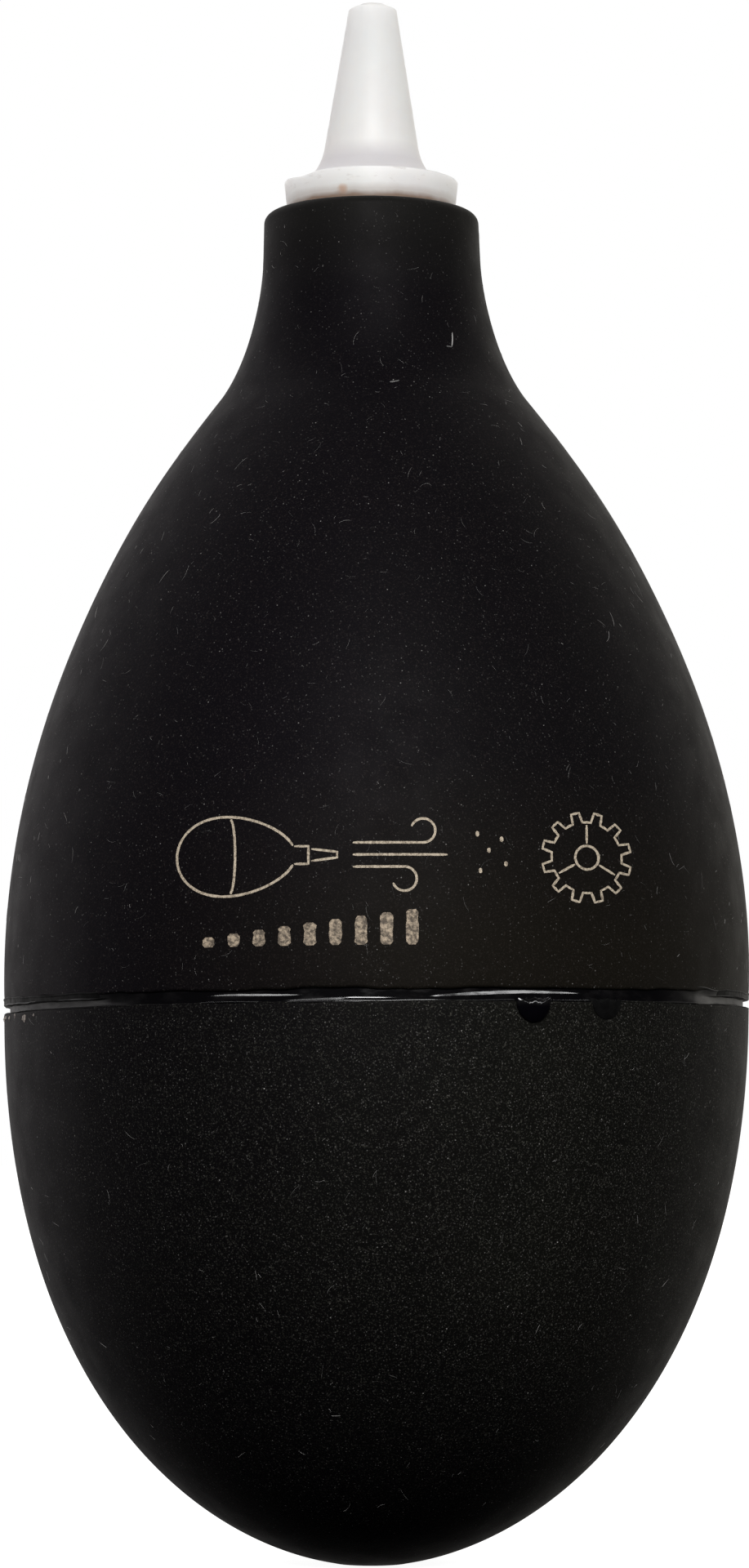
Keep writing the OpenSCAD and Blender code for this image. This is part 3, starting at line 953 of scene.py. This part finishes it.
def lint(name, material, count, low, high, seed, flecks=()):
    """Fibres scattered over the skin between two heights, and a few that are placed.

    flecks has (angle in degrees, height, length, way in degrees) for each placed one.
    """
    rng = random.Random(seed)
    points, faces = [], []
    while count:
        z = rng.uniform(low, high)
        if rng.random() * BULB_R > skin_radius(z):
            continue
        length = rng.choice(LINT_LENGTHS) * rng.uniform(0.8, 1.2)
        hair(points, faces, rng, rng.uniform(0, 2 * math.pi), z, length, rng.uniform(*LINT_R))
        count -= 1
    for degrees, z, length, way in flecks:
        hair(points, faces, rng, math.radians(degrees), z, length, FLECK_R, math.radians(way))
    return add_mesh(name, np.array([tuple(p) for p in points]) * MM, faces, material, crease=80)


# Angle in degrees, depth below the seam and size of each chip
CHIPS = ((-157, 0.95, 0.40), (-162, 0.75, 0.24), (-166, 0.85, 0.30), (-170, 0.75, 0.26),
         (-173, 0.9, 0.28), (-176, 0.8, 0.3), (-153, 0.8, 0.16))


def crumbs(material):
    """Chips of old cement on the lower half, next to the groove at one side."""
    rng = random.Random(8)
    mesh = bmesh.new()
    for degrees, depth, size in CHIPS:
        spot, out = skin_point(math.radians(degrees), -depth, -0.2 * size)
        turn = out.to_track_quat("Z", "Y").to_matrix().to_4x4()
        shape = Matrix.Diagonal((size, 0.8 * size, 0.45 * size, 1))
        place = Matrix.Translation(spot) @ turn @ shape
        made = bmesh.ops.create_icosphere(mesh, subdivisions=2, radius=1, matrix=place)
        for vert in made["verts"]:
            vert.co += (vert.co - spot) * rng.uniform(-0.35, 0.25)
    piece = bpy.data.objects.new("cement_crumbs", bpy.data.meshes.new("cement_crumbs"))
    bmesh.ops.scale(mesh, vec=(MM, MM, MM), verts=mesh.verts)
    mesh.to_mesh(piece.data)
    mesh.free()
    piece.data.materials.append(material)
    bpy.context.scene.collection.objects.link(piece)
    return piece


# ---------------------------------------------------------------- main

make_camera()
# Stretches of the rubber with a tint: LEFT_EDGE's is painted light, a paler left edge on both halves,
# and UNDER_NOZZLE's is painted light, the neck lighter and more olive towards the nozzle.
LEFT_EDGE = (("X", -20.0, -26.2),)
UNDER_NOZZLE = (("Z", 53.0, 60.4),)
OVER_SEAM = (("Z", 17.0, 4.0), ("X", -18.0, 2.0))
PAINTED_EDGE_LIGHT = (0.105, 0.096, 0.098, 1)
RUBBER_TOP = rubber(
    "rubber_smooth",
    dark=(0.0023, 0.0018, 0.0028, 1),
    pale=(0.0024, 0.0019, 0.0029, 1),
    grain=0.010,
    powder=(0.021, 0.017, 0.0165, 1),
    specks=((0.20, 0.40, 0.08), (0.33, 0.22, 0.20), (1.3, 0.22, 0.40)),
    dust_and_shade_fades=(("Z", 60, 36),),
    painted_light_and_tints=((LEFT_EDGE, PAINTED_EDGE_LIGHT), (UNDER_NOZZLE, (0.070, 0.072, 0.055, 1)),
            (OVER_SEAM, (0.050, 0.043, 0.018, 1))),
)
RUBBER_BASE = rubber(
    "rubber_grained",
    dark=(0.0016, 0.0013, 0.0020, 1),
    pale=(0.0056, 0.0056, 0.0046, 1),
    grain=0.016,
    powder=(0.076, 0.0745, 0.063, 1),
    specks=((0.20, 0.80, 0.12), (0.33, 0.36, 0.22), (0.7, 0.30, 0.50)),
    # Painted shade: where the dust fades out, the grained half is darker to the left and towards the
    # bottom, and towards its right edge too.
    dust_and_shade_fades=(("X", -28, 14), ("X", 42, 13), ("Z", -39, -20)),
    painted_light_and_tints=((LEFT_EDGE, PAINTED_EDGE_LIGHT),),
)
CEMENT = cement_material()

upper = upper_shell(RUBBER_TOP)
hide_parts("upper_shell")
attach(upper, "bulb")

lower = lower_shell(RUBBER_BASE)
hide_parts("lower_shell")
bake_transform(lower)

DULL_CEMENT = dull_cement()
bead = cement_bead(CEMENT, DULL_CEMENT)
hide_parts("seam_cement")
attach(bead, "bulb")

drips = cement_drips(CEMENT, DULL_CEMENT)
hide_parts("cement_drips")
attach(drips, "bulb")

moulding = nozzle_piece(white_plastic())
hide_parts("nozzle")
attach(moulding, "nozzle")

LINE = laser_mark("laser_line", (0.18, 0.140, 0.100, 1), (0.56, 0.475, 0.36, 1), 0.16, 0.45)
FILL = laser_mark("laser_fill", (0.10, 0.078, 0.057, 1), (0.52, 0.415, 0.30, 1), 0.30, 0.54)
sign = laser_sign(LINE, FILL)
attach(sign, "bulb")

LINT = lint_material()
FLECKS = ((-54.6, 48.85, 1.3, 62), (-54.6, 48.85, 0.5, 168), (-84.5, 45.6, 0.8, 2))
high_lint = lint("lint_upper", LINT, 900, 1.2, NECK_TOP - 1.5, 5, FLECKS)
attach(high_lint, "bulb")
low_lint = lint("lint_lower", LINT, 330, BASE_Z + 4, -1.2, 6)
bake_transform(low_lint)
chips = crumbs(crumb_material())
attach(chips, "bulb")

spring, spring_top = valve_spring(steel("spring_steel", (0.60, 0.60, 0.62, 1), 0.2, 0.2, (1, 1, 1)))
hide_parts("inlet_spring")
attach(spring, "inlet")
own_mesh(spring)


def finish_node(node, material):
    """Gives a CAD node that is shown as it is its material."""
    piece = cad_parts[node]
    piece.data.materials.clear()
    piece.data.materials.append(material)


BUSH = valve_plastic()
for node in ("outlet_seat", "inlet_body", "inlet_cap"):
    finish_node(node, BUSH)
finish_node("outlet_flap", flap_rubber())
finish_node("inlet_screen", steel("screen_steel", (0.55, 0.55, 0.56, 1), 0.3, 0.3, (1, 6, 1)))
finish_node("inlet_ball", steel("ball_steel", (0.66, 0.66, 0.68, 1), 0.1, 0.8, (1, 1, 1)))


# ---------------------------------------------------------------- studio

def only_seen(piece):
    """A backdrop that the camera sees, but that neither lights the object nor shades it."""
    piece.visible_diffuse = False
    piece.visible_glossy = False
    piece.visible_transmission = False
    piece.visible_volume_scatter = False
    piece.visible_shadow = False


def make_floor():
    """A wide pale floor, so bright that the object's shadow hardly shows."""
    z = cad_box[0][2]
    size = 6.0
    corners = [(-size, -size, z), (size, -size, z), (size, size, z), (-size, size, z)]
    material, shader = new_material("pale_floor")
    g = Graph(material)
    g.join(g.mix(g.noise(40, 2), grey(0.38), grey(0.40)), shader.inputs["Base Color"])
    shader.inputs["Roughness"].default_value = 0.9
    shader.inputs["Specular IOR Level"].default_value = 0.1
    shader.inputs["Emission Color"].default_value = (1, 1, 1, 1)
    shader.inputs["Emission Strength"].default_value = 0.95
    only_seen(add_mesh("floor", corners, [(0, 1, 2, 3)], material))


def make_backdrop():
    """A white dome far behind everything, seen above the floor's far edge."""
    radius, rings, sides = 5.5, 16, 48
    points, faces = [], []
    for i in range(rings + 1):
        up = math.pi * (i / rings - 0.5)
        for j in range(sides):
            turn = 2 * math.pi * j / sides
            across = radius * math.cos(up)
            points.append((across * math.cos(turn), across * math.sin(turn), radius * math.sin(up)))
    for i in range(rings):
        for j in range(sides):
            k = (j + 1) % sides
            faces.append((i * sides + j, (i + 1) * sides + j, (i + 1) * sides + k, i * sides + k))
    material, shader = new_material("white_backdrop")
    shader.inputs["Base Color"].default_value = (0, 0, 0, 1)
    shader.inputs["Specular IOR Level"].default_value = 0
    shader.inputs["Emission Color"].default_value = (1, 1, 1, 1)
    shader.inputs["Emission Strength"].default_value = 1.0
    only_seen(add_mesh("backdrop", points, faces, material))


def make_world():
    """Light as from a white table behind the object: bright behind and above, dark in front."""
    cool, warm = (1, 0.965, 0.965, 1), (1, 0.965, 0.895, 1)
    swing = -0.19               # the bright side is turned a little to the left
    behind_fade, up_fade, tint_fade = (-0.08, 0.30), (-0.68, 0.20), (-0.5, 0.5)
    world = bpy.data.worlds.new("studio")
    bpy.context.scene.world = world
    world.use_nodes = True
    background = world.node_tree.nodes["Background"]
    g = Graph(world)
    x, y, z = g.add("ShaderNodeSeparateXYZ", {0: g.place.node.outputs["Generated"]}).outputs
    behind = g.math("ADD", g.math("MULTIPLY", x, swing), y)
    strength = g.math("MULTIPLY", g.ramp(behind, *behind_fade), g.ramp(z, *up_fade))
    g.join(g.mix(g.ramp(x, *tint_fade), cool, warm), background.inputs["Color"])
    g.join(strength, background.inputs["Strength"])


def add_light(name, place, target, size, power):
    """A rectangular softbox of a size in metres and a power in watts, turned to a target."""
    data = bpy.data.lights.new(name, "AREA")
    data.shape = "RECTANGLE"
    data.size, data.size_y = size
    data.energy = power
    light = bpy.data.objects.new(name, data)
    bpy.context.scene.collection.objects.link(light)
    light.location = place
    light.rotation_euler = (Vector(target) - Vector(place)).to_track_quat("-Z", "Y").to_euler()


make_floor()
make_backdrop()
make_world()
scene = bpy.context.scene
scene.view_settings.view_transform = "Standard"
MIDDLE = (0, 0, 0.02)
add_light("key_softbox", (0.05, -0.90, 0.48), MIDDLE, (0.5, 0.4), 9.3)
for name, x in (("left_strip", -0.60), ("right_strip", 0.62)):
    add_light(name, (x, -0.70, 0.47), MIDDLE, (0.55, 0.07), 0.9)
add_light("far_right_strip", (0.98, -0.32, 0.47), MIDDLE, (0.45, 0.07), 0.8)
